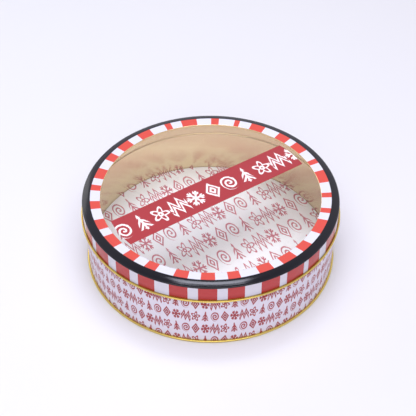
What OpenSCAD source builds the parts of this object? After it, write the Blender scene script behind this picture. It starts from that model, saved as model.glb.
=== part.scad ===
// Round slip-lid tin with a window in its lid.
// Millimetres, +Z up, origin on the table under the middle of the tin.
// Three pieces of tinplate (band, bottom plate and lid ring) are drawn as one continuous
// sheet each: a path of corners and bend radii, given thickness and turned about Z.

/* [Tin] */
// Overall height, from the table to the crest of the lid
tin_h = 57.2; // [45:0.1:80]
// Outside diameter of the body wall
body_d = 185.4; // [150:0.1:230]
// Thickness of the tinplate
sheet_t = 0.25; // [0.2:0.01:0.3]

/* [Body] */
// Diameter of the inward curl round the mouth
mouth_curl_d = 2; // [1.6:0.1:3]
// How far the stiffening bead stands out of the wall
bead_h = 0.4; // [0.2:0.05:0.6]
// Width of the stiffening bead, up the wall
bead_w = 2.6; // [2:0.1:4]
// Distance from the lid's lower edge down to the middle of the bead
bead_drop = 3.8; // [2.5:0.1:10]
// Width of the lock seam where the ends of the band hook together
lock_w = 4.5; // [3:0.1:7]
// Direction of the lock seam, in degrees from +X
lock_angle = 174; // [0:1:359]

/* [Base] */
// Height of the underside of the floor above the table
floor_recess = 2.75; // [2.2:0.05:5]
// Radius of the corner between the floor and its turned-down rim
floor_corner_r = 1; // [0.6:0.1:1.5]
// Height of the rolled seam round the foot
foot_h = 1.9; // [1.7:0.05:2.1]
// How far the rolled seam stands out of the wall
foot_out = 1.5; // [1.4:0.05:2.5]

/* [Lid] */
// Height of the lid, from its crest to its lower edge
lid_h = 14.6; // [10:0.1:22]
// Clearance between the wall and the top of the lid's skirt, on the radius
lid_fit = 0.41; // [0.3:0.01:0.8]
// Clearance between the mouth curl and the underside of the shoulder
seat_gap = 0.3; // [0.2:0.05:0.6]
// How much the skirt opens towards its lower edge, on the radius
skirt_flare = 0.29; // [0:0.01:0.6]
// Diameter of the outward curl at the lid's lower edge
lid_curl_d = 1.6; // [1.2:0.1:2.4]
// Width of the sloping shoulder, in plan
shoulder_w = 5.96; // [4.8:0.01:9]
// Slope of the shoulder, in degrees below level
shoulder_slope = 12.6; // [6:0.1:20]
// Bend radius between the shoulder and the skirt
shoulder_r = 1.46; // [1.2:0.01:2]
// Bend radius of the crest between the flange and the shoulder
crest_r = 1; // [0.5:0.1:2]
// Width of the flange round the window, in plan
flange_w = 7.3; // [6:0.1:14]
// How much the flange rises from the window to the crest
flange_rise = 0.7; // [0:0.05:1.2]

/* [Window] */
// Thickness of the folded hem at the window's edge
hem_t = 0.8; // [0.65:0.05:1.2]
// Width of the folded hem
hem_w = 2.6; // [1.6:0.1:3]
// Thickness of the clear pane
pane_t = 0.3; // [0.15:0.05:0.6]
// How far the pane reaches under the flange
pane_lap = 6.4; // [5.6:0.1:7]
// Free width between the hem and the adhesive
glue_inset = 0.3; // [0.1:0.1:0.8]
// Width of the adhesive ring
glue_w = 3.1; // [1:0.1:3.2]
// Width of the banner across the pane
banner_w = 27.4; // [10:0.1:60]
// Direction of the banner, in degrees from +X
banner_angle = 35; // [0:1:359]
// Distance of the banner's middle line from the middle of the pane
banner_offset = 0.9; // [-10:0.1:10]
// Gap between the banner's ends and the window's edge
banner_end_gap = 3.6; // [1:0.1:20]
// Thickness of the banner's printed film
banner_t = 0.1; // [0.05:0.01:0.2]

/* [Hidden] */
$fn = 180;
// Bends are drawn with a facet at least this often, in degrees
bend_step = 12;

// Sheets that lie against each other keep this hairline between them
hairline = 0.03;
// A rolled edge turns this far, which leaves its free end just short of the sheet
curl_turn = 300;

// Lid, from the wall outwards and from the crest downwards
wall_r = body_d / 2;
skirt_top_r = wall_r + lid_fit + sheet_t;
skirt_foot_r = skirt_top_r + skirt_flare;
crest_radius = skirt_top_r - shoulder_w;
window_r = crest_radius - flange_w;
flange_slope = atan(flange_rise / flange_w);
crest_turn = flange_slope + shoulder_slope;
crest_lean = (shoulder_slope - flange_slope) / 2;
crest_z = tin_h + crest_r * (cos(crest_lean) / cos(crest_turn / 2) - 1);
lid_foot_z = tin_h - lid_h;
lid_curl_z = lid_foot_z + lid_curl_d / 2;

// Height of the printed face of the flange and of the shoulder at a given radius
function flange_z(r) = crest_z - (crest_radius - r) * tan(flange_slope);
function shoulder_z(r) = crest_z - (r - crest_radius) * tan(shoulder_slope);

// Window: the hem is a half-round fold whose lowest face carries the pane
hem_r = hem_t / 2;
hem_centre = [window_r + hem_r, flange_z(window_r + hem_r) - hem_r / cos(flange_slope)];
pane_top_z = hem_centre[1] - hem_r;
pane_r = window_r + pane_lap;
glue_in_r = window_r + hem_w + glue_inset;
glue_out_r = glue_in_r + glue_w;
banner_r = window_r - banner_end_gap;

// Body: the mouth curl sits under the shoulder
mouth_curl_r = mouth_curl_d / 2;
mouth_axis_r = wall_r - mouth_curl_r;
shoulder_under_z = shoulder_z(mouth_axis_r) - sheet_t / cos(shoulder_slope);
mouth_axis_z = shoulder_under_z - (mouth_curl_r + seat_gap) / cos(shoulder_slope);
bead_z = lid_foot_z - bead_drop;

// Foot seam: the base's rim runs down inside the wall, under its foot flange and back over it.
// The flange's hooked edge shares the centre of the roll that holds it.
foot_r = wall_r + foot_out;
rim_r = wall_r - sheet_t - hairline;
floor_z = floor_recess + sheet_t;
foot_bend_r = 0.3;
foot_roll_r = foot_h / 2 - sheet_t - hairline;
foot_flange_z = 2 * sheet_t + hairline;
foot_hook_r = foot_r - 2 * sheet_t - hairline;
foot_hook_bend_r = foot_roll_r - sheet_t - hairline;

// Bead: three equal bends that leave the wall and come back to it
bead_turn = 2 * atan(2 * bead_h / bead_w);
bead_bend_r = bead_w / (4 * sin(bead_turn));
bead_leg = bead_bend_r * (tan(bead_turn / 2) + tan(bead_turn));
bead_corners = [
    [wall_r, bead_z + bead_leg * cos(bead_turn)],
    [wall_r + bead_leg * sin(bead_turn), bead_z],
    [wall_r, bead_z - bead_leg * cos(bead_turn)]
];
bead_radii = [bead_bend_r, bead_bend_r, bead_bend_r];

// Lock seam: two further layers of sheet behind the wall, between the mouth and the floor's rim
lock_half_turn = asin(lock_w / 2 / wall_r);
lock_top_z = mouth_axis_z - mouth_curl_d;
lock_foot_z = floor_z + floor_corner_r;
crease_w = 0.4;
crease_depth = 0.1;

// A sheet's section is a walk along its printed face, with the sheet on the right-hand side.
// A step is [turn, radius, run]: a bend, then a straight run. A positive turn bends the sheet
// towards its back, a negative one towards its print, and the radius is that of the printed face.
function ahead(heading) = [cos(heading), sin(heading)];
function to_back(heading) = [sin(heading), -cos(heading)];

// Points through a bend, at a depth below the printed face
function bend_points(start, heading, turn, r, depth) =
    let (
        side = sign(turn),
        centre = start + side * r * to_back(heading),
        facets = max(1, ceil(abs(turn) / bend_step))
    )
    [for (k = [0:facets]) centre - (side * r - depth) * to_back(heading - turn * k / facets)];

// Points of one side of a walk, from step i to its end
function sheet_side(start, heading, steps, depth, i = 0) =
    i == len(steps)
        ? [start + depth * to_back(heading)]
        : let (
            turn = steps[i][0],
            r = steps[i][1],
            onward = heading - turn,
            bend_end = start + sign(turn) * r * (to_back(heading) - to_back(onward)),
            next = bend_end + steps[i][2] * ahead(onward),
            points = turn == 0
                ? [start + depth * to_back(heading)]
                : bend_points(start, heading, turn, r, depth)
        )
        concat(points, sheet_side(next, onward, steps, depth, i + 1));

// A path of corners p with a bend radius at each inner corner, as a walk
function leg_heading(p, i) = atan2(p[i + 1][1] - p[i][1], p[i + 1][0] - p[i][0]);
function wrapped(a) = a - 360 * round(a / 360);
function corner_turn(p, i) = wrapped(leg_heading(p, i - 1) - leg_heading(p, i));
function is_bend(p, i) = i > 0 && i < len(p) - 1;
function bend_length(p, radii, i) = is_bend(p, i) ? radii[i - 1] * tan(abs(corner_turn(p, i)) / 2) : 0;
function corner_steps(p, radii) = [
    for (i = [0:len(p) - 2])
        let (run = norm(p[i + 1] - p[i]) - bend_length(p, radii, i) - bend_length(p, radii, i + 1))
        is_bend(p, i) ? [corner_turn(p, i), radii[i - 1], run] : [0, 0, run]
];

// Section of a sheet along corners p, between two depths. Its first and last edges may be rolled
// or folded, which is given as [turn, radius, run of the free end].
module sheet_section(p, radii, first = [0, 0, 0], last = [0, 0, 0], near = 0, far = sheet_t) {
    steps = corner_steps(p, radii);
    lead = leg_heading(p, 0);
    free = lead + first[0];
    bend_start = p[0] + sign(first[0]) * first[1] * (to_back(lead) - to_back(free));
    start = bend_start - first[2] * ahead(free);
    first_steps = [[0, 0, first[2]], [first[0], first[1], steps[0][2]]];
    walk = concat(
        first[0] == 0 ? steps : concat(first_steps, tail(steps)),
        last[0] == 0 ? [] : [last]
    );
    print_side = sheet_side(start, free, walk, near);
    back_side = sheet_side(start, free, walk, far);
    polygon(concat(print_side, reversed(back_side)));
}

function tail(list) = [for (i = [1:1:len(list) - 1]) list[i]];
function reversed(list) = [for (i = [len(list) - 1:-1:0]) list[i]];

// Printed band: mouth curl, stiffening bead, lock seam and the flange that the base grips
module body_wall() {
    corners = concat(
        [[wall_r, mouth_axis_z]],
        bead_corners,
        [[wall_r, foot_flange_z], [foot_hook_r, foot_flange_z], [foot_hook_r, foot_h / 2]]
    );
    radii = concat(bead_radii, [foot_bend_r, foot_hook_bend_r]);
    color("mistyrose")
        difference() {
            union() {
                rotate_extrude()
                    sheet_section(corners, radii, first = [curl_turn, mouth_curl_r, 0]);
                lock_seam();
            }
            lock_crease();
        }
}

// Folded layers of the lock seam, behind the wall and following its bead
module lock_seam() {
    corners = concat([[wall_r, lock_top_z]], bead_corners, [[wall_r, lock_foot_z]]);
    rotate([0, 0, lock_angle - lock_half_turn])
        rotate_extrude(angle = 2 * lock_half_turn)
            sheet_section(corners, bead_radii, near = sheet_t / 2, far = 3 * sheet_t);
}

// Fine upright crease that the lock seam shows on the printed side
module lock_crease() {
    rotate([0, 0, lock_angle])
        translate([wall_r - crease_depth, -crease_w / 2, lock_foot_z])
            cube([bead_h + 2 * crease_depth, crease_w, lock_top_z - lock_foot_z]);
}

// Bottom plate: raised floor, turned-down rim and the roll that closes the foot seam
module base_panel() {
    corners = [
        [0, floor_z],
        [rim_r, floor_z],
        [rim_r, sheet_t],
        [foot_r - sheet_t, sheet_t],
        [foot_r - sheet_t, foot_h - sheet_t],
        [wall_r + hairline, foot_h - sheet_t]
    ];
    radii = [floor_corner_r, foot_bend_r, foot_roll_r, foot_roll_r];
    color("gold")
        rotate_extrude()
            sheet_section(corners, radii);
}

// Lid ring: folded hem, striped flange, black shoulder, striped skirt and wired curl
module lid_shell() {
    corners = [
        hem_centre + hem_r * [-sin(flange_slope), cos(flange_slope)],
        [crest_radius, crest_z],
        [skirt_top_r, shoulder_z(skirt_top_r)],
        [skirt_foot_r, lid_curl_z]
    ];
    color("crimson")
        rotate_extrude()
            sheet_section(
                corners,
                [crest_r, shoulder_r],
                first = [180 - flange_slope, hem_r, hem_w - hem_r],
                last = [-curl_turn, lid_curl_d / 2 - sheet_t, 0]
            );
}

// Clear disc under the hem
module window_pane() {
    color("lightcyan", 0.35)
        translate([0, 0, pane_top_z - pane_t])
            cylinder(h = pane_t, r = pane_r);
}

// Adhesive that fills the step between the pane and the underside of the flange
module window_adhesive() {
    under = sheet_t / cos(flange_slope) + hairline;
    color("ivory")
        rotate_extrude()
            polygon([
                [glue_in_r, pane_top_z],
                [glue_out_r, pane_top_z],
                [glue_out_r, flange_z(glue_out_r) - under],
                [glue_in_r, flange_z(glue_in_r) - under]
            ]);
}

// Printed band on the pane, its ends parallel to the window's edge
module window_banner() {
    color("firebrick")
        intersection() {
            translate([0, 0, pane_top_z])
                cylinder(h = banner_t, r = banner_r);
            rotate([0, 0, banner_angle])
                translate([-window_r, banner_offset - banner_w / 2, pane_top_z])
                    cube([2 * window_r, banner_w, banner_t]);
        }
}

body_wall();
base_panel();
lid_shell();
window_pane();
window_adhesive();
window_banner();
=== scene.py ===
"""Finishes, prints, studio floor, light and camera for the round tin with a window in its lid."""

import math

import bpy
from mathutils import Matrix, Vector


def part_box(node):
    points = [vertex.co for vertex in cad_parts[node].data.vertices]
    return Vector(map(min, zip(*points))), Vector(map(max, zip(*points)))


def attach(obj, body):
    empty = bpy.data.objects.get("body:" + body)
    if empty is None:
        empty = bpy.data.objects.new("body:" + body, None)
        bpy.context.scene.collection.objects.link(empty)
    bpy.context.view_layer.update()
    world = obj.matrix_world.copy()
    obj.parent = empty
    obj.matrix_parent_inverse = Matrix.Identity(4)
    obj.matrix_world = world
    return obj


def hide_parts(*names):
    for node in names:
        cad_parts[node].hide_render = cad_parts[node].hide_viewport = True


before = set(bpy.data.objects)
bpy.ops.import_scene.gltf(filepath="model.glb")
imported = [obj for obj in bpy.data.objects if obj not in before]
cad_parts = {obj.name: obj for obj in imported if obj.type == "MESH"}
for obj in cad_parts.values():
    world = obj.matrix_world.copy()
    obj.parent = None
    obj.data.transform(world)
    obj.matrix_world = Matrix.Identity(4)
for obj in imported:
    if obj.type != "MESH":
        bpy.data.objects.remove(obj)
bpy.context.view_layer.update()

MM = 0.001

# Sizes in millimetres, as in the part's source
SHEET = 0.25
HAIRLINE = 0.03
WALL_R = 92.7
TIN_H = 57.2
CURL_TURN = math.radians(300)

MOUTH_CURL_R = 1.0
MOUTH_AXIS_Z = 54.66
BEAD_Z = 38.8
BEAD_H = 0.4
BEAD_W = 2.6
LOCK_W = 4.5
LOCK_ANGLE = math.radians(174)
LOCK_TOP_Z = 52.66

FLOOR_Z = 3.0
FLOOR_CORNER_R = 1.0
FOOT_H = 1.9
FOOT_R = WALL_R + 1.5
FOOT_BEND_R = 0.3

SKIRT_TOP_R = 93.36
SKIRT_FOOT_R = 93.65
LID_FOOT_Z = 42.6
LID_CURL_R = 0.8
CREST_R = 87.4
CREST_BEND = 1.0
SHOULDER_BEND = 1.46
SHOULDER_SLOPE = math.radians(12.6)
FLANGE_W = 7.3
FLANGE_RISE = 0.7
FLANGE_SLOPE = math.atan(FLANGE_RISE / FLANGE_W)
WINDOW_R = CREST_R - FLANGE_W
HEM_R = 0.4
HEM_W = 2.6
BANNER_ANGLE = math.radians(35)
BANNER_OFFSET = 0.9

# The shoulder's crown: how high it rises over the straight shoulder, its bend, and its place as a
# share of the shoulder's width from the crest
CROWN_RISE = 0.17
CROWN_BEND = 18.0
CROWN_PLACE = 0.42

# The lock seam's layers start this far behind the wall's printed face, just within its sheet
LOCK_INSET = 0.9 * SHEET
LOCK_SPANS = 6
CREASE_W = 0.4
CREASE_DEPTH = 0.1

# Where the prints end, and how soft their edges are
PRINT_TOP_Z = 53.4
FLOOR_PRINT_FOOT_Z = FLOOR_Z - 0.6
BLACK_FOOT_Z = 54.9
BLACK_SOFT = 0.15
BARE_HEM_R = WINDOW_R + 0.25
BARE_CURL_Z = LID_FOOT_Z + 2 * LID_CURL_R + 0.1
SOFT_EDGE = 0.1

# The skirt's print is darkened towards the lower curl, a painted shade of the corner above the
# curl, about this height and over this width
SHADE_Z = LID_FOOT_Z + 3.8
SHADE_W = 3.6

# Stripes of the lid, as widths of white and red in turn round the middle of the flange
STRIPES = (
    (8, 7.5), (11.5, 10), (8, 12), (9, 9.5), (8, 9), (11.5, 10), (8, 9),
    (8, 9), (11.5, 10.5), (7.5, 11.5), (6, 9), (11, 14.5), (7.5, 5.5), (11.5, 4.5),
    (11.5, 13.5), (8.5, 5), (11.5, 11), (6.5, 10), (12, 12), (8.5, 5), (11.5, 6.5),
    (11.5, 12.5), (8, 5), (12, 11.5), (9, 11.5), (8, 7.5), (11, 10.5), (7.5, 10),
)
FIRST_STRIPE = math.radians(2.2)
# Drawing the sheet into the skirt widens the red stripes there by this much
SKIRT_SPREAD = 2.2

# Rows of motifs, in millimetres: what is added to the place, a cell's width, a row's height, a
# motif's height, the line's width, and how far the order of the motifs moves on from one cell and
# from one row to the next
WALL_MOTIFS_ROUND = 88
WALL_ROWS = {
    "shift": (0, 5.1),
    "cell": math.tau * WALL_R / WALL_MOTIFS_ROUND,
    "row": 12.6,
    "height": 9.8,
    "pen": 1.35,
    "shuffle": (5, 3),
}
FLOOR_ROWS = {
    "shift": (400, 403),
    "cell": 11,
    "row": 22,
    "height": 18.5,
    "pen": 1.6,
    "shuffle": (1, 4),
}
BANNER_ROWS = {
    "shift": (200, 13),
    "cell": 15,
    "row": 26,
    "height": 16.5,
    "pen": 1.7,
    "shuffle": (1, 0),
}
FLOOR_ROWS_ANGLE = math.radians(32)

# Drawn motifs: half of one's width as a share of its cell, how far they lean and how the lean
# moves on from one cell and from one row to the next, how far their lines waver across and up, and
# the waves of that waver in a millimetre
MOTIF_HALF_WIDTH = 0.47
MOTIF_LEAN = 0.14
LEAN_SHUFFLE = (2.4, 1.7)
WAVER_ACROSS = 0.18
WAVER_UP = 0.12
WAVER_WAVES = 0.35

# Camera in metres, radians and pixels, from the photograph's perspective
CAMERA_BACK = 0.461956
CAMERA_UP = 0.467110
CAMERA_PITCH = 0.746012
CAMERA_YAW = 0.004295
CAMERA_ROLL = 0.001810
FOCAL_PIXELS = 850
IMAGE_PIXELS = 416
SENSOR_MM = 36

# Studio floor and lamps, in metres
STAGE_HALF = 3.0
GRADIENT_HALF = 0.25
LAMP_TARGET = Vector((0, 0, 0.04))

# The world's strength as light on the tin, its strength straight up where it is seen or mirrored,
# and how late it darkens on the way up there
AMBIENT = 0.2
ZENITH = 0.25
CEILING_EDGE = 6

# Steps of the turned pieces. Flat runs have an extra step this far from each bend, which keeps
# their shading flat
BEND_STEP = math.radians(9)
ROUND_STEPS = 360
FLAT_EDGE = 0.1
SHARP_EDGE = math.radians(40)
FACE_SLOT = 0
BACK_SLOT = 1

# The frame's meshes have straight facets, which reach a little less far than the true curves. The
# turned pieces are drawn in this proportion, so they stay inside the frame's box
LID_R = SKIRT_FOOT_R + 2 * LID_CURL_R - SHEET
lid_low, lid_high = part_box("lid_shell")
FACET_FIT = min(lid_high.x, lid_high.y, -lid_low.x, -lid_low.y) / (LID_R * MM)


def linear(red, green, blue):
    """A screen colour, 0 to 255 a channel, as the linear colour that shaders take."""
    scaled = [channel / 255 for channel in (red, green, blue)]
    return [c / 12.92 if c <= 0.04045 else ((c + 0.055) / 1.055) ** 2.4 for c in scaled] + [1]


WALL_PAPER = linear(226, 219, 231)
WALL_PAPER_SHADE = linear(221, 213, 228)
WALL_INK = linear(158, 50, 56)
FLOOR_PAPER = linear(250, 251, 255)
FLOOR_INK = linear(196, 100, 116)
FLANGE_RED = linear(213, 78, 68)
FLANGE_WHITE = linear(219, 218, 232)
# The skirt's red and white are darker copies of the flange's: painted shade on the tin's upright
# side
SHADED_SKIRT_RED = linear(182, 56, 56)
SHADED_SKIRT_WHITE = linear(214, 209, 221)
# Painted shade in the corner above the lower curl: the skirt's colours darkened further
CURL_SHADE_RED = linear(166, 32, 24)
CURL_SHADE_WHITE = linear(204, 200, 216)
BLACK = linear(14, 13, 22)
GOLD = linear(228, 204, 118)
DARK_GOLD = linear(198, 168, 84)
PALE_GOLD = linear(235, 217, 172)
DULL_GOLD = linear(223, 199, 152)
BANNER_RED = linear(168, 54, 60)
BANNER_RED_SHADE = linear(160, 48, 55)
BANNER_WHITE = linear(248, 238, 240)
FILM = (0.97, 0.98, 1, 1)
GOLD_METAL = 0.9
ADHESIVE = linear(222, 214, 190)
ADHESIVE_PALE = linear(236, 230, 210)
# Painted light on the studio floor: lighter on the left, a little darker on the right
STUDIO_LIT_LEFT = linear(227, 226, 231)
STUDIO_SHADED_RIGHT = linear(223, 221, 227)
SKY = linear(242, 241, 254)
NEUTRAL_LIGHT = (1, 1, 1)
COOL_LIGHT = (0.955, 0.965, 1.0)
BLUE_LIGHT = (0.84, 0.86, 1.0)


# Sheet sections


def ahead(heading):
    return Vector((math.cos(heading), math.sin(heading)))


def to_back(heading):
    return Vector((math.sin(heading), -math.cos(heading)))


def wrapped(angle):
    return angle - math.tau * round(angle / math.tau)


def corner_steps(corners, radii):
    """A path of corners with a bend radius at each inner corner, as (turn, radius, run) steps."""
    legs = [b - a for a, b in zip(corners, corners[1:])]
    headings = [math.atan2(leg.y, leg.x) for leg in legs]
    turns = [0] + [wrapped(a - b) for a, b in zip(headings, headings[1:])] + [0]
    radii = [0, *radii, 0]
    cuts = [r * math.tan(abs(turn) / 2) for r, turn in zip(radii, turns)]
    steps = [
        (turns[i], radii[i], leg.length - cuts[i] - cuts[i + 1]) for i, leg in enumerate(legs)
    ]
    return headings[0], steps


def sheet_faces(start, heading, steps, thickness=SHEET):
    """Printed face and back of a sheet that walks along the steps, as two lists of points."""
    face = []
    back = []
    for turn, radius, run in steps:
        side = math.copysign(radius, turn)
        centre = start + side * to_back(heading)
        facets = max(1, math.ceil(abs(turn) / BEND_STEP)) if turn else 0
        for k in range(facets + 1):
            now = heading - turn * k / max(1, facets)
            face.append(centre - side * to_back(now))
            back.append(face[-1] + thickness * to_back(now))
        heading -= turn
        places = (FLAT_EDGE, run - FLAT_EDGE, run) if run > 4 * FLAT_EDGE else (run,)
        flat = [face[-1] + place * ahead(heading) for place in places]
        face += flat
        back += [point + thickness * to_back(heading) for point in flat]
        start = face[-1]
    return distinct(face), distinct(back)


def distinct(points, tolerance=1e-4):
    return [p for i, p in enumerate(points) if i == 0 or (p - points[i - 1]).length > tolerance]


def bead_bends(wall_r):
    """Corners of the stiffening bead on a wall of this radius, from the top, and their radii."""
    turn = 2 * math.atan(2 * BEAD_H / BEAD_W)
    radius = BEAD_W / (4 * math.sin(turn))
    leg = radius * (math.tan(turn / 2) + math.tan(turn))
    corners = [
        Vector((wall_r, BEAD_Z + leg * math.cos(turn))),
        Vector((wall_r + leg * math.sin(turn), BEAD_Z)),
        Vector((wall_r, BEAD_Z - leg * math.cos(turn))),
    ]
    return corners, [radius] * len(corners)


def wall_section():
    """Printed face and back of the wall: mouth curl, bead and hooked foot flange."""
    foot_z = 2 * SHEET + HAIRLINE
    hook_r = FOOT_R - 2 * SHEET - HAIRLINE
    bead_corners, bead_radii = bead_bends(WALL_R)
    corners = [
        Vector((WALL_R, MOUTH_AXIS_Z)),
        *bead_corners,
        Vector((WALL_R, foot_z)),
        Vector((hook_r, foot_z)),
        Vector((hook_r, FOOT_H / 2)),
    ]
    hook_bend = FOOT_H / 2 - 2 * (SHEET + HAIRLINE)
    heading, steps = corner_steps(corners, [*bead_radii, FOOT_BEND_R, hook_bend])
    free = heading + CURL_TURN
    start = corners[0] + MOUTH_CURL_R * (to_back(heading) - to_back(free))
    return sheet_faces(start, free, [(CURL_TURN, MOUTH_CURL_R, steps[0][2]), *steps[1:]])


def lock_section():
    """Outer and inner face of the lock seam's folded layers, behind the wall."""
    lock_r = WALL_R - LOCK_INSET
    bead_corners, bead_radii = bead_bends(lock_r)
    corners = [
        Vector((lock_r, LOCK_TOP_Z)),
        *bead_corners,
        Vector((lock_r, FLOOR_Z + FLOOR_CORNER_R)),
    ]
    heading, steps = corner_steps(corners, bead_radii)
    return sheet_faces(corners[0], heading, steps, thickness=2 * SHEET)


def base_section():
    """Upper face and back of the bottom plate, from its middle out to the rolled foot."""
    rim_r = WALL_R - SHEET - HAIRLINE
    corners = [
        Vector((0, FLOOR_Z)),
        Vector((rim_r, FLOOR_Z)),
        Vector((rim_r, SHEET)),
        Vector((FOOT_R - SHEET, SHEET)),
        Vector((FOOT_R - SHEET, FOOT_H - SHEET)),
        Vector((WALL_R + HAIRLINE, FOOT_H - SHEET)),
    ]
    roll = FOOT_H / 2 - SHEET - HAIRLINE
    heading, steps = corner_steps(corners, [FLOOR_CORNER_R, FOOT_BEND_R, roll, roll])
    return sheet_faces(corners[0], heading, steps)


def lid_section():
    """Printed face and back of the lid ring, from the hem's free edge to the lower curl."""
    shoulder = (SKIRT_TOP_R - CREST_R) * Vector((1, -math.tan(SHOULDER_SLOPE)))
    crown = CROWN_PLACE * shoulder + Vector((0, CROWN_RISE))
    inner_slope = math.atan2(-crown.y, crown.x)
    crest_lean = (inner_slope - FLANGE_SLOPE) / 2
    half_turn = (inner_slope + FLANGE_SLOPE) / 2
    crest_z = TIN_H + CREST_BEND * (math.cos(crest_lean) / math.cos(half_turn) - 1)
    hem_z = crest_z - (FLANGE_W - HEM_R) * math.tan(FLANGE_SLOPE) - HEM_R / math.cos(FLANGE_SLOPE)
    hem = Vector((WINDOW_R + HEM_R, hem_z))
    crest = Vector((CREST_R, crest_z))
    corners = [
        hem + HEM_R * Vector((-math.sin(FLANGE_SLOPE), math.cos(FLANGE_SLOPE))),
        crest,
        crest + crown,
        crest + shoulder,
        Vector((SKIRT_FOOT_R, LID_FOOT_Z + LID_CURL_R)),
    ]
    heading, steps = corner_steps(corners, [CREST_BEND, CROWN_BEND, SHOULDER_BEND])
    fold = math.pi - FLANGE_SLOPE
    free = heading + fold
    bend_start = corners[0] + HEM_R * (to_back(heading) - to_back(free))
    start = bend_start - (HEM_W - HEM_R) * ahead(free)
    walk = [
        (0, 0, HEM_W - HEM_R),
        (fold, HEM_R, steps[0][2]),
        *steps[1:],
        (-CURL_TURN, LID_CURL_R - SHEET, 0),
    ]
    return sheet_faces(start, free, walk)


# Turned meshes


def even_angles():
    return [math.tau * k / ROUND_STEPS for k in range(ROUND_STEPS)]


def smooth(point, angle):
    """The depth of the groove in a piece that has none."""
    return 0


def turned_rings(outline, angles, groove, near_axis=1e-6):
    """Vertices of an outline turned about Z, and the ring of vertices of each of its points."""
    vertices = []
    rings = []
    for point in outline:
        first = len(vertices)
        z = point.y * MM
        if point.x < near_axis:
            vertices.append((0, 0, z))
            rings.append([first] * len(angles))
            continue
        for angle in angles:
            r = (point.x - groove(point, angle)) * (FACET_FIT * MM)
            vertices.append((r * math.cos(angle), r * math.sin(angle), z))
        rings.append(list(range(first, len(vertices))))
    return vertices, rings


def band(ring, after, spans):
    """Polygons between two rings, which are triangles where one of them is a point on the axis."""
    if ring[0] == ring[-1] and after[0] == after[-1]:
        return []
    polygons = []
    for k in range(spans):
        onward = (k + 1) % len(ring)
        corners = [ring[k], after[k], after[onward], ring[onward]]
        polygons.append(list(dict.fromkeys(corners)))
    return polygons


def turned(name, face, back, angles, whole=True, groove=smooth):
    """A closed mesh of a sheet section turned about Z, with a material slot for each side."""
    vertices, rings = turned_rings(face + back[::-1], angles, groove)
    spans = len(angles) if whole else len(angles) - 1
    polygons = []
    slots = []
    for i, ring in enumerate(rings):
        bands = band(ring, rings[(i + 1) % len(rings)], spans)
        polygons += bands
        slots += [FACE_SLOT if i < len(face) - 1 else BACK_SLOT] * len(bands)
    if not whole:
        ends = [[ring[0] for ring in rings][::-1], [ring[-1] for ring in rings]]
        polygons += ends
        slots += [BACK_SLOT] * len(ends)
    mesh = bpy.data.meshes.new(name)
    mesh.from_pydata(vertices, [], polygons)
    mesh.polygons.foreach_set("material_index", slots)
    mesh.shade_smooth()
    mesh.set_sharp_from_angle(angle=SHARP_EDGE)
    mesh.update()
    piece = bpy.data.objects.new(name, mesh)
    bpy.context.scene.collection.objects.link(piece)
    return piece


def lock_crease(point, angle, tolerance=1e-4):
    """How far the lock seam's crease draws the wall in at a point of its section."""
    on_wall = FLOOR_Z < point.y < MOUTH_AXIS_Z and point.x > WALL_R - CREASE_DEPTH
    return CREASE_DEPTH if on_wall and abs(wrapped(angle - LOCK_ANGLE)) < tolerance else 0


def crease_angles():
    """Even angles, with three close ones across the lock seam's crease."""
    half = CREASE_W / 2 / WALL_R
    near = [LOCK_ANGLE - half, LOCK_ANGLE, LOCK_ANGLE + half]
    rest = [a for a in even_angles() if abs(wrapped(a - LOCK_ANGLE)) > 2 * half]
    return sorted(rest + near)


def lock_angles():
    """Angles across the width of the lock seam."""
    half = LOCK_W / 2 / WALL_R
    return [LOCK_ANGLE + half * (2 * k / LOCK_SPANS - 1) for k in range(LOCK_SPANS + 1)]


# Node helpers


class Field:
    """A number that a material works out at each point, written as ordinary arithmetic."""

    def __init__(self, tree, value):
        self.tree = tree
        self.value = value

    def _math(self, operation, *others, clamp=False):
        node = self.tree.nodes.new("ShaderNodeMath")
        node.operation = operation
        node.use_clamp = clamp
        for socket, item in zip(node.inputs, (self, *others)):
            value = item.value if isinstance(item, Field) else item
            if isinstance(value, bpy.types.NodeSocket):
                self.tree.links.new(value, socket)
            else:
                socket.default_value = value
        return Field(self.tree, node.outputs[0])

    def __add__(self, other):
        return self._math("ADD", other)

    def __sub__(self, other):
        return self._math("SUBTRACT", other)

    def __mul__(self, other):
        return self._math("MULTIPLY", other)

    def __truediv__(self, other):
        return self._math("DIVIDE", other)

    def __mod__(self, other):
        return self._math("FLOORED_MODULO", other)

    def __abs__(self):
        return self._math("ABSOLUTE")

    def __gt__(self, other):
        return self._math("GREATER_THAN", other)

    def __lt__(self, other):
        return self._math("LESS_THAN", other)

    def floor(self):
        return self._math("FLOOR")

    def cosine(self):
        return self._math("COSINE")

    def sine(self):
        return self._math("SINE")

    def power(self, other):
        return self._math("POWER", other)

    def most(self, other):
        return self._math("MAXIMUM", other)

    def clamped(self):
        return self._math("ADD", 0, clamp=True)

    def length_with(self, other):
        return (self * self + other * other)._math("SQRT")

    def angle_from(self, x):
        return self._math("ARCTAN2", x)

    def above(self, edge, soft=SOFT_EDGE):
        """0 below the edge and 1 above it, over a soft width."""
        return ((self - edge) / soft + 0.5).clamped()

    def below(self, edge, soft=SOFT_EDGE):
        """1 below the edge and 0 above it, over a soft width."""
        return (self * -1).above(-edge, soft)

    def between(self, low, high):
        """A share of the way from the low number to the high one."""
        return self * (high - low) + low


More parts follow.
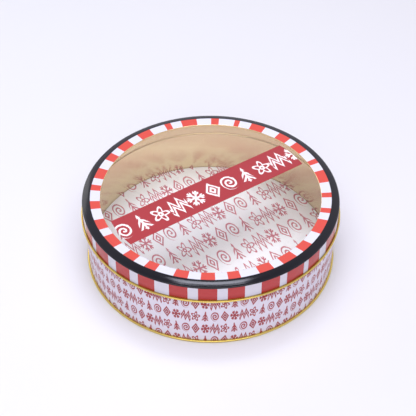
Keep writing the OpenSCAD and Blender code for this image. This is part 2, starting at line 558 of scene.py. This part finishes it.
class Finish:
    """A material with its Principled shader and the fields that its pattern is written with."""

    def __init__(self, name, **settings):
        self.material = bpy.data.materials.new(name)
        self.material.use_nodes = True
        self.tree = self.material.node_tree
        self.shader = self.tree.nodes["Principled BSDF"]
        for socket, value in settings.items():
            self.shader.inputs[socket.replace("_", " ")].default_value = value
        self.coordinates = self.tree.nodes.new("ShaderNodeTexCoord").outputs["Object"]

    def position(self):
        """Place on the object, in millimetres."""
        node = self.tree.nodes.new("ShaderNodeSeparateXYZ")
        self.tree.links.new(self.coordinates, node.inputs[0])
        return [Field(self.tree, output) * (1 / MM) for output in node.outputs]

    def vector(self, x, y):
        """A vector of two fields."""
        node = self.tree.nodes.new("ShaderNodeCombineXYZ")
        for socket, item in zip(node.inputs, (x, y)):
            self.tree.links.new(item.value, socket)
        return node.outputs[0]

    def noise(self, waves, vector=None, detail=2.0):
        """Smooth noise about 0.5, with so many waves a metre, or a unit of the vector given."""
        node = self.tree.nodes.new("ShaderNodeTexNoise")
        node.inputs["Scale"].default_value = waves
        node.inputs["Detail"].default_value = detail
        self.tree.links.new(vector or self.coordinates, node.inputs["Vector"])
        return Field(self.tree, node.outputs["Fac"])

    def mixed(self, factor, first, second):
        """A colour between two, each a colour or a socket."""
        node = self.tree.nodes.new("ShaderNodeMix")
        node.data_type = "RGBA"
        self.tree.links.new(factor.value, node.inputs["Factor"])
        for name, item in (("A", first), ("B", second)):
            socket = [s for s in node.inputs if s.name == name and s.type == "RGBA"][0]
            if isinstance(item, bpy.types.NodeSocket):
                self.tree.links.new(item, socket)
            else:
                socket.default_value = item
        return [s for s in node.outputs if s.type == "RGBA"][0]

    def set(self, socket, item):
        source = item.value if isinstance(item, Field) else item
        self.tree.links.new(source, self.shader.inputs[socket])

    def bump(self, height, distance):
        """Unevenness of the surface, its height a field and its distance in millimetres."""
        node = self.tree.nodes.new("ShaderNodeBump")
        node.inputs["Distance"].default_value = distance * MM
        self.tree.links.new(height.value, node.inputs["Height"])
        self.tree.links.new(node.outputs[0], self.shader.inputs["Normal"])


def round_turn(x, y):
    """Angle about Z, 0 at -X and growing anticlockwise, in turns from 0 to 1."""
    return y.angle_from(x) / math.tau + 0.5


def slanted(x, y, angle):
    """Place along and across a direction."""
    along = x * math.cos(angle) + y * math.sin(angle)
    across = y * math.cos(angle) - x * math.sin(angle)
    return along, across


def stripe_mask(finish, turn, spread=0):
    """1 on the red stripes and 0 on the white ones. The last stripe ends where the turn does."""
    total = sum(white + red for white, red in STRIPES)
    place = FIRST_STRIPE / math.tau
    edges = []
    for white, red in STRIPES:
        edges.append((place + (white - spread / 2) / total, 1))
        place += (white + red) / total
        edges.append((place + spread / 2 / total, 0))
    # Each half turn has a ramp of its own, because one ramp can't hold all the stripes
    halves = []
    for low in (0, 0.5):
        node = finish.tree.nodes.new("ShaderNodeValToRGB")
        ramp = node.color_ramp
        ramp.interpolation = "CONSTANT"
        inside = [(2 * (at - low), red) for at, red in edges if low < at < low + 0.5]
        before = 1 - inside[0][1]
        ramp.elements[0].position = 0
        ramp.elements[0].color = (before, before, before, 1)
        ramp.elements.remove(ramp.elements[1])
        for at, red in inside:
            ramp.elements.new(at).color = (red, red, red, 1)
        finish.tree.links.new(((turn - low) * 2).value, node.inputs[0])
        halves.append(Field(finish.tree, node.outputs["Color"]))
    second = turn > 0.5
    return halves[0] + (halves[1] - halves[0]) * second


# Drawn motifs of the prints. Each lies about the middle of its cell and reaches about 1 each way,
# with x across and y up. A slanting line's distance is measured along an axis, so it is multiplied
# by a share that evens the line's width


def drawn_line(distance, half_pen):
    """A line of the pen where the distance is zero."""
    return abs(distance).below(half_pen, half_pen / 2)


def folded(x, y, arms):
    """Place along and across the nearest of some arms, and the distance from the middle."""
    wedge = math.tau / arms
    angle = abs((y.angle_from(x) + wedge / 2) % wedge - wedge / 2)
    radius = x.length_with(y)
    return radius * angle.cosine(), radius * angle.sine(), radius


def snowflake(x, y, half_pen):
    """Arms from the middle, each with two twigs."""
    arms = 6
    reach = 0.98
    twig_foot = 0.52
    twig_slant = 0.9
    twig_reach = 0.3
    evened = 0.75
    along, across, radius = folded(x, y, arms)
    arm = drawn_line(across, half_pen) * (radius < reach)
    twig_distance = (along - across * twig_slant - twig_foot) * evened
    twig = drawn_line(twig_distance, half_pen) * (across < twig_reach)
    return arm.most(twig)


def fir_tree(x, y, half_pen):
    """A trunk with hanging boughs that widen towards the foot."""
    reach = 0.97
    bough_slant = 1.1
    bough_pitch = 0.56
    bough_start = 0.95
    lowest_bough = -0.8
    narrowing = 0.42
    middle_half_width = 0.48
    outline_soft = 0.06
    evened = 0.68
    side = abs(x)
    bough = (y + side * bough_slant + bough_start) % bough_pitch - bough_pitch / 2
    half_width = y * -narrowing + middle_half_width
    inside = (half_width - side).above(0, outline_soft) * (y > lowest_bough)
    trunk = drawn_line(x, half_pen) * (abs(y) < reach)
    return (drawn_line(bough * evened, half_pen) * inside).most(trunk)


def diamond(x, y, half_pen):
    """A small diamond inside a large one."""
    outer_reach = 0.92
    inner_reach = 0.36
    narrowing = 1.25
    evened = 0.65
    size = abs(x) * narrowing + abs(y)
    outer = drawn_line((size - outer_reach) * evened, half_pen)
    inner = drawn_line((size - inner_reach) * evened, half_pen)
    return outer.most(inner)


def zigzag(x, y, half_pen):
    """Two lines of sharp waves, one over the other."""
    waves = 1.05
    swing = 2.2
    half_gap = 0.36
    evened = 0.5
    wave = abs((x * waves + 0.5) % 1 - 0.5) * swing - swing / 4
    upper = drawn_line((y - wave - half_gap) * evened, half_pen)
    lower = drawn_line((y - wave + half_gap) * evened, half_pen)
    return upper.most(lower)


def scroll(x, y, half_pen):
    """A line wound into a spiral."""
    reach = 0.95
    pitch = 0.46
    radius = x.length_with(y)
    winding = (radius / pitch - y.angle_from(x) / math.tau) % 1 - 0.5
    return drawn_line(winding * pitch, half_pen) * (radius < reach)


def flower(x, y, half_pen):
    """Petals round a heart."""
    petal_count = 5
    petal_middle = 0.66
    petal_swing = 0.24
    heart_r = 0.2
    evened = 0.8
    radius = x.length_with(y)
    petals = radius - (y.angle_from(x) * petal_count).cosine() * petal_swing - petal_middle
    heart = drawn_line(radius - heart_r, half_pen)
    return drawn_line(petals * evened, half_pen).most(heart)


MOTIFS = (snowflake, diamond, scroll, fir_tree, flower, zigzag)


def motif_rows(finish, x, y, shift, cell, row, height, pen, shuffle):
    """Ink of rows of drawn motifs, one to a cell."""
    x = x + shift[0]
    y = y + shift[1]
    column = (x / cell).floor()
    line = (y / row).floor()
    across = (x % cell - cell / 2) / (cell * MOTIF_HALF_WIDTH)
    up = (y % row - row / 2) / (height / 2)
    waver = finish.noise(WAVER_WAVES, finish.vector(x, y)) - 0.5
    lean = (column * LEAN_SHUFFLE[0] + line * LEAN_SHUFFLE[1]).sine() * MOTIF_LEAN
    across = across + up * lean + waver * WAVER_ACROSS
    up = up - across * lean + waver * WAVER_UP
    kind = (column * shuffle[0] + line * shuffle[1]) % len(MOTIFS)
    half_pen = pen / height
    inks = [
        motif(across, up, half_pen) * (abs(kind - index) < 0.5)
        for index, motif in enumerate(MOTIFS)
    ]
    return sum(inks[1:], inks[0]).clamped()


# Finishes


def gold_finish(name, bright, dull):
    """Gold lacquer on tinplate, with faint rolling streaks."""
    streaks_round = 900
    streaks_up = 0.05
    finish = Finish(name, Metallic=GOLD_METAL)
    x, y, z = finish.position()
    grain = finish.vector(round_turn(x, y) * streaks_round, z * streaks_up)
    streaks = finish.noise(1.0, grain, detail=3)
    cloud = finish.noise(30)
    finish.set("Base Color", finish.mixed(streaks * 0.5 + cloud * 0.5, dull, bright))
    finish.set("Roughness", streaks.between(0.16, 0.32))
    return finish.material


def lid_finish():
    """Printed face of the lid: stripes, black shoulder, gold hem and gold lower curl, with painted
    shade on the skirt and above the lower curl.
    """
    black_gloss = 0.09
    finish = Finish("lid_print", IOR=1.42)
    x, y, z = finish.position()
    radius = x.length_with(y)
    turn = round_turn(x, y)
    # Painted shade: the skirt darkens towards the lower curl
    low = z.below(SHADE_Z, SHADE_W)
    flange_stripes = finish.mixed(stripe_mask(finish, turn), FLANGE_WHITE, FLANGE_RED)
    # Painted shade: the skirt's stripes use darker copies of the flange's red and white
    shaded_skirt_red = finish.mixed(low, SHADED_SKIRT_RED, CURL_SHADE_RED)
    shaded_skirt_white = finish.mixed(low, SHADED_SKIRT_WHITE, CURL_SHADE_WHITE)
    shaded_skirt_stripes = finish.mixed(stripe_mask(finish, turn, SKIRT_SPREAD), shaded_skirt_white, shaded_skirt_red)
    stripes = finish.mixed(z.below(BLACK_FOOT_Z), flange_stripes, shaded_skirt_stripes)
    black = radius.above(CREST_R * FACET_FIT, BLACK_SOFT) * z.above(BLACK_FOOT_Z)
    printed = finish.mixed(black, stripes, BLACK)
    hem = radius.below(BARE_HEM_R)
    bare = z.below(BARE_CURL_Z).most(hem)
    finish.set("Base Color", finish.mixed(bare, printed, finish.mixed(hem, GOLD, PALE_GOLD)))
    finish.set("Metallic", bare)
    finish.set("Roughness", finish.noise(160).between(0.17, 0.25) - black * black_gloss)
    finish.bump(finish.noise(70), 0.04)
    return finish.material


def lid_back_finish():
    """Back of the lid's sheet: pale gold inside, and the yellow gold that the lower curl shows."""
    finish = Finish("lid_back", Metallic=GOLD_METAL)
    z = finish.position()[2]
    cloud = finish.noise(60)
    inside = finish.mixed(cloud, DULL_GOLD, PALE_GOLD)
    rolled = finish.mixed(cloud, DARK_GOLD, GOLD)
    finish.set("Base Color", finish.mixed(z.below(BARE_CURL_Z), inside, rolled))
    finish.set("Roughness", cloud.between(0.14, 0.26))
    return finish.material


def wall_finish():
    """Printed outside of the wall: rows of drawn motifs on off-white, up to a bare gold mouth."""
    finish = Finish("wall_print", IOR=1.45)
    x, y, z = finish.position()
    ink = motif_rows(finish, round_turn(x, y) * (math.tau * WALL_R), z, **WALL_ROWS)
    paper = finish.mixed(finish.noise(25), WALL_PAPER, WALL_PAPER_SHADE)
    bare = z.above(PRINT_TOP_Z)
    finish.set("Base Color", finish.mixed(bare, finish.mixed(ink, paper, WALL_INK), PALE_GOLD))
    finish.set("Metallic", bare * GOLD_METAL)
    finish.set("Roughness", finish.noise(120).between(0.28, 0.38))
    finish.bump(finish.noise(60), 0.03)
    return finish.material


def floor_finish():
    """Upper face of the bottom plate: large drawn motifs inside the tin, gold outside the wall."""
    finish = Finish("floor_print", IOR=1.45)
    x, y, z = finish.position()
    ink = motif_rows(finish, *slanted(x, y, FLOOR_ROWS_ANGLE), **FLOOR_ROWS)
    printed = finish.mixed(ink, FLOOR_PAPER, FLOOR_INK)
    bare = z.below(FLOOR_PRINT_FOOT_Z)
    finish.set("Base Color", finish.mixed(bare, printed, GOLD))
    finish.set("Metallic", bare)
    finish.set("Roughness", finish.noise(120).between(0.24, 0.34))
    return finish.material


def banner_finish():
    """Red film with white drawn motifs in one row along the banner."""
    finish = Finish("banner_print", IOR=1.45)
    x, y = finish.position()[:2]
    along, across = slanted(x, y, BANNER_ANGLE)
    ink = motif_rows(finish, along, across - BANNER_OFFSET, **BANNER_ROWS)
    red = finish.mixed(finish.noise(50), BANNER_RED, BANNER_RED_SHADE)
    finish.set("Base Color", finish.mixed(ink, red, BANNER_WHITE))
    finish.set("Roughness", finish.noise(140).between(0.28, 0.38))
    return finish.material


def pane_finish():
    """Clear film: each of its faces mirrors a little, and more at a glancing view."""
    mirror = 0.045
    glancing_mirror = 0.9
    glancing_power = 5
    scuff_mirror = 0.012
    scuff_edge = 0.66
    scuff_soft = 0.12
    finish = Finish("clear_film", Metallic=1.0, Roughness=0.04, Base_Color=FILM)
    facing = Field(finish.tree, finish.tree.nodes.new("ShaderNodeLayerWeight").outputs["Facing"])
    glancing = facing.power(glancing_power) * glancing_mirror
    scuffs = finish.noise(220, detail=4).above(scuff_edge, scuff_soft) * scuff_mirror
    finish.set("Alpha", glancing + scuffs + mirror)
    return finish.material


def adhesive_finish():
    """Cream hot-melt with a slightly lumpy face."""
    finish = Finish("hot_melt", Roughness=0.5, Subsurface_Weight=0.1)
    lumps = finish.noise(400)
    finish.set("Base Color", finish.mixed(lumps, ADHESIVE, ADHESIVE_PALE))
    finish.bump(lumps, 0.1)
    return finish.material


# Pieces of the tin


def dress(node, finish):
    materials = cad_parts[node].data.materials
    materials.clear()
    materials.append(finish)


def place(piece, body, node, slot, *materials):
    for item in materials:
        piece.data.materials.append(item)
    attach(piece, body)
    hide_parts(node)


gold = gold_finish("gold_lacquer", GOLD, DARK_GOLD)
pale_gold = gold_finish("pale_gold_lacquer", PALE_GOLD, DULL_GOLD)

wall = turned("tin_wall", *wall_section(), crease_angles(), groove=lock_crease)
place(wall, "tin", "body_wall", "printed_tinplate", wall_finish(), pale_gold)

lock = turned("tin_lock_seam", *lock_section(), lock_angles(), whole=False)
place(lock, "tin", "body_wall", "printed_tinplate", pale_gold, pale_gold)

base = turned("tin_base", *base_section(), even_angles())
place(base, "tin", "base_panel", "gold_tinplate", floor_finish(), gold)

lid = turned("lid_ring", *lid_section(), even_angles())
place(lid, "lid", "lid_shell", "striped_tinplate", lid_finish(), lid_back_finish())

dress("window_banner", banner_finish())
dress("window_pane", pane_finish())
dress("window_adhesive", adhesive_finish())


# Studio


def studio_floor():
    """A wide pale sheet of paper, with painted light: its tone turns a little darker from the lit
    left to the right.
    """
    mesh = bpy.data.meshes.new("studio_floor")
    h = STAGE_HALF
    mesh.from_pydata([(-h, -h, 0), (h, -h, 0), (h, h, 0), (-h, h, 0)], [], [(0, 1, 2, 3)])
    floor = bpy.data.objects.new("studio_floor", mesh)
    bpy.context.scene.collection.objects.link(floor)
    finish = Finish("studio_paper", Roughness=0.9, Specular_IOR_Level=0.1)
    x = finish.position()[0]
    # Painted light: the floor's tone falls off from left to right
    right = (x * (MM / GRADIENT_HALF / 2) + 0.5).clamped()
    finish.set("Base Color", finish.mixed(right, STUDIO_LIT_LEFT, STUDIO_SHADED_RIGHT))
    floor.data.materials.append(finish.material)


def studio_world():
    """Even pale light. Seen or mirrored, it is the pale background with a darker ceiling."""
    world = bpy.data.worlds.new("studio")
    world.use_nodes = True
    tree = world.node_tree
    background = tree.nodes["Background"]
    background.inputs["Color"].default_value = SKY
    path = tree.nodes.new("ShaderNodeLightPath")
    seen = Field(tree, path.outputs["Is Camera Ray"])
    seen = seen.most(Field(tree, path.outputs["Is Glossy Ray"]))
    seen = seen.most(Field(tree, path.outputs["Is Transmission Ray"]))
    direction = tree.nodes.new("ShaderNodeTexCoord").outputs["Generated"]
    split = tree.nodes.new("ShaderNodeSeparateXYZ")
    tree.links.new(direction, split.inputs[0])
    height = Field(tree, split.outputs["Z"]).clamped()
    backdrop = height.power(CEILING_EDGE).between(1, ZENITH)
    strength = seen * (backdrop - AMBIENT) + AMBIENT
    tree.links.new(strength.value, background.inputs["Strength"])
    bpy.context.scene.world = world


def softbox(name, place_at, size, radiance, colour=NEUTRAL_LIGHT, mirrored=True):
    """A flat lamp that faces the tin. An area lamp's radiance is its power over 4 areas."""
    lamp = bpy.data.lights.new(name, "AREA")
    lamp.shape = "RECTANGLE"
    lamp.size, lamp.size_y = size
    lamp.energy = radiance * 4 * size[0] * size[1]
    lamp.color = colour
    holder = bpy.data.objects.new(name, lamp)
    holder.visible_glossy = mirrored
    holder.location = place_at
    aim = LAMP_TARGET - Vector(place_at)
    holder.rotation_euler = aim.to_track_quat("-Z", "Y").to_euler()
    bpy.context.scene.collection.objects.link(holder)


def studio_lamps():
    """A small lamp that the black shoulder mirrors, a wide one over the tin, and two fills."""
    softbox("softbox_top", (0, 0.28, 1.26), (0.42, 0.2), radiance=9, colour=BLUE_LIGHT)
    softbox(
        "overhead", (0, -0.28, 1.85), (2.2, 2.2), radiance=2.12, colour=COOL_LIGHT, mirrored=False
    )
    softbox("fill_left", (-1.4, 1.5, 0.95), (1.0, 1.0), radiance=1.2)
    softbox("fill_front", (0, -1.8, 1.1), (2.4, 1.4), radiance=1.2)


def photo_camera():
    """The photograph's camera, in front of the tin and looking down into it."""
    lens = bpy.data.cameras.new("photo_camera")
    lens.sensor_width = SENSOR_MM
    lens.lens = FOCAL_PIXELS * SENSOR_MM / IMAGE_PIXELS
    camera = bpy.data.objects.new("photo_camera", lens)
    turn = Matrix.Rotation(CAMERA_YAW, 4, "Z")
    tilt = Matrix.Rotation(math.pi / 2 - CAMERA_PITCH, 4, "X")
    roll = Matrix.Rotation(CAMERA_ROLL, 4, "Z")
    camera.matrix_world = Matrix.Translation((0, -CAMERA_BACK, CAMERA_UP)) @ turn @ tilt @ roll
    bpy.context.scene.collection.objects.link(camera)
    bpy.context.scene.camera = camera


studio_floor()
studio_world()
studio_lamps()
photo_camera()
bpy.context.scene.view_settings.view_transform = "Standard"
